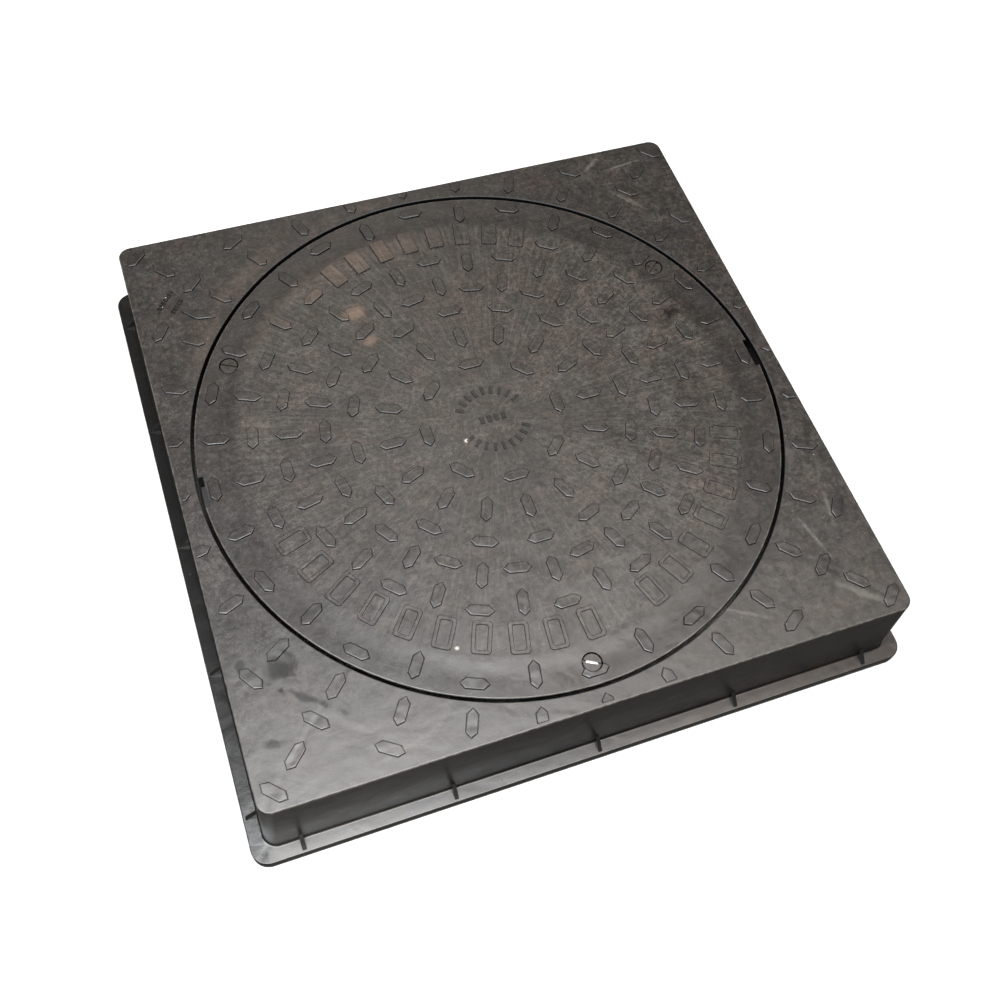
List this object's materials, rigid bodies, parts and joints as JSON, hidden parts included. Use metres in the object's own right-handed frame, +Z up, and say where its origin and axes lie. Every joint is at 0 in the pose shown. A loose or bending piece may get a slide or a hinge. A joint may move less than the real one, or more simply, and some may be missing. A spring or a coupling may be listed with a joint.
{
  "type": "manhole cover",
  "caption": "Square plastic chamber cover: drafted frame with a foot flange and gussets, and a round flush lid with raised tread lugs held by slotted screws.",
  "frame": {"origin": "centre of the footprint, on the underside of the foot flange", "axes": "+Z up, +X to the right along the front edge, +Y from the front edge to the rear edge; the lifting notches lie on X"},
  "size_m": [0.529, 0.529, 0.0855],
  "materials": {
    "frame_plastic": "moulded black polypropylene, semi-gloss, scuffed and dusty",
    "lid_plastic": "moulded black polypropylene, semi-gloss, scratched, dusty, with dried mud",
    "seal_rubber": "matt black rubber",
    "screw_steel": "dull steel with brown dirt",
    "washer_nylon": "natural nylon",
    "insert_brass": "turned brass"
  },
  "bodies": {
    "frame": {"frame": "frame_plastic", "seat_ring": "frame_plastic", "lid_seal": "seal_rubber", "insert_front": "insert_brass", "insert_rear_left": "insert_brass", "insert_rear_right": "insert_brass"},
    "lid": {"lid": "lid_plastic"},
    "washer_front": {"washer_front": "washer_nylon"},
    "screw_front": {"screw_front": "screw_steel"},
    "washer_rear_left": {"washer_rear_left": "washer_nylon"},
    "screw_rear_left": {"screw_rear_left": "screw_steel"},
    "washer_rear_right": {"washer_rear_right": "washer_nylon"},
    "screw_rear_right": {"screw_rear_right": "screw_steel"}
  },
  "joints": [
    {"name": "lid_lift", "type": "slide", "parent": "frame", "child": "lid", "axis": [0, 0, 1], "range_m": [0, 0.15]},
    {"name": "screw_front_rise", "type": "slide", "parent": "lid", "child": "washer_front", "axis": [0, 0, 1], "range_m": [0, 0.0181]},
    {"name": "screw_front_turn", "type": "hinge", "parent": "washer_front", "child": "screw_front", "pos_m": [0, -0.2165, 0.0764], "axis": [0, 0, 1], "range_deg": [0, 2160]},
    {"name": "screw_rear_left_rise", "type": "slide", "parent": "lid", "child": "washer_rear_left", "axis": [0, 0, 1], "range_m": [0, 0.0181]},
    {"name": "screw_rear_left_turn", "type": "hinge", "parent": "washer_rear_left", "child": "screw_rear_left", "pos_m": [-0.18749, 0.10825, 0.0764], "axis": [0, 0, 1], "range_deg": [0, 2160]},
    {"name": "screw_rear_right_rise", "type": "slide", "parent": "lid", "child": "washer_rear_right", "axis": [0, 0, 1], "range_m": [0, 0.0181]},
    {"name": "screw_rear_right_turn", "type": "hinge", "parent": "washer_rear_right", "child": "screw_rear_right", "pos_m": [0.18749, 0.10825, 0.0764], "axis": [0, 0, 1], "range_deg": [0, 2160]}
  ],
  "couplings": [
    {"joint": "screw_front_rise", "follows": "screw_front_turn", "m_per_rad": 0.00047746},
    {"joint": "screw_rear_left_rise", "follows": "screw_rear_left_turn", "m_per_rad": 0.00047746},
    {"joint": "screw_rear_right_rise", "follows": "screw_rear_right_turn", "m_per_rad": 0.00047746}
  ]
}
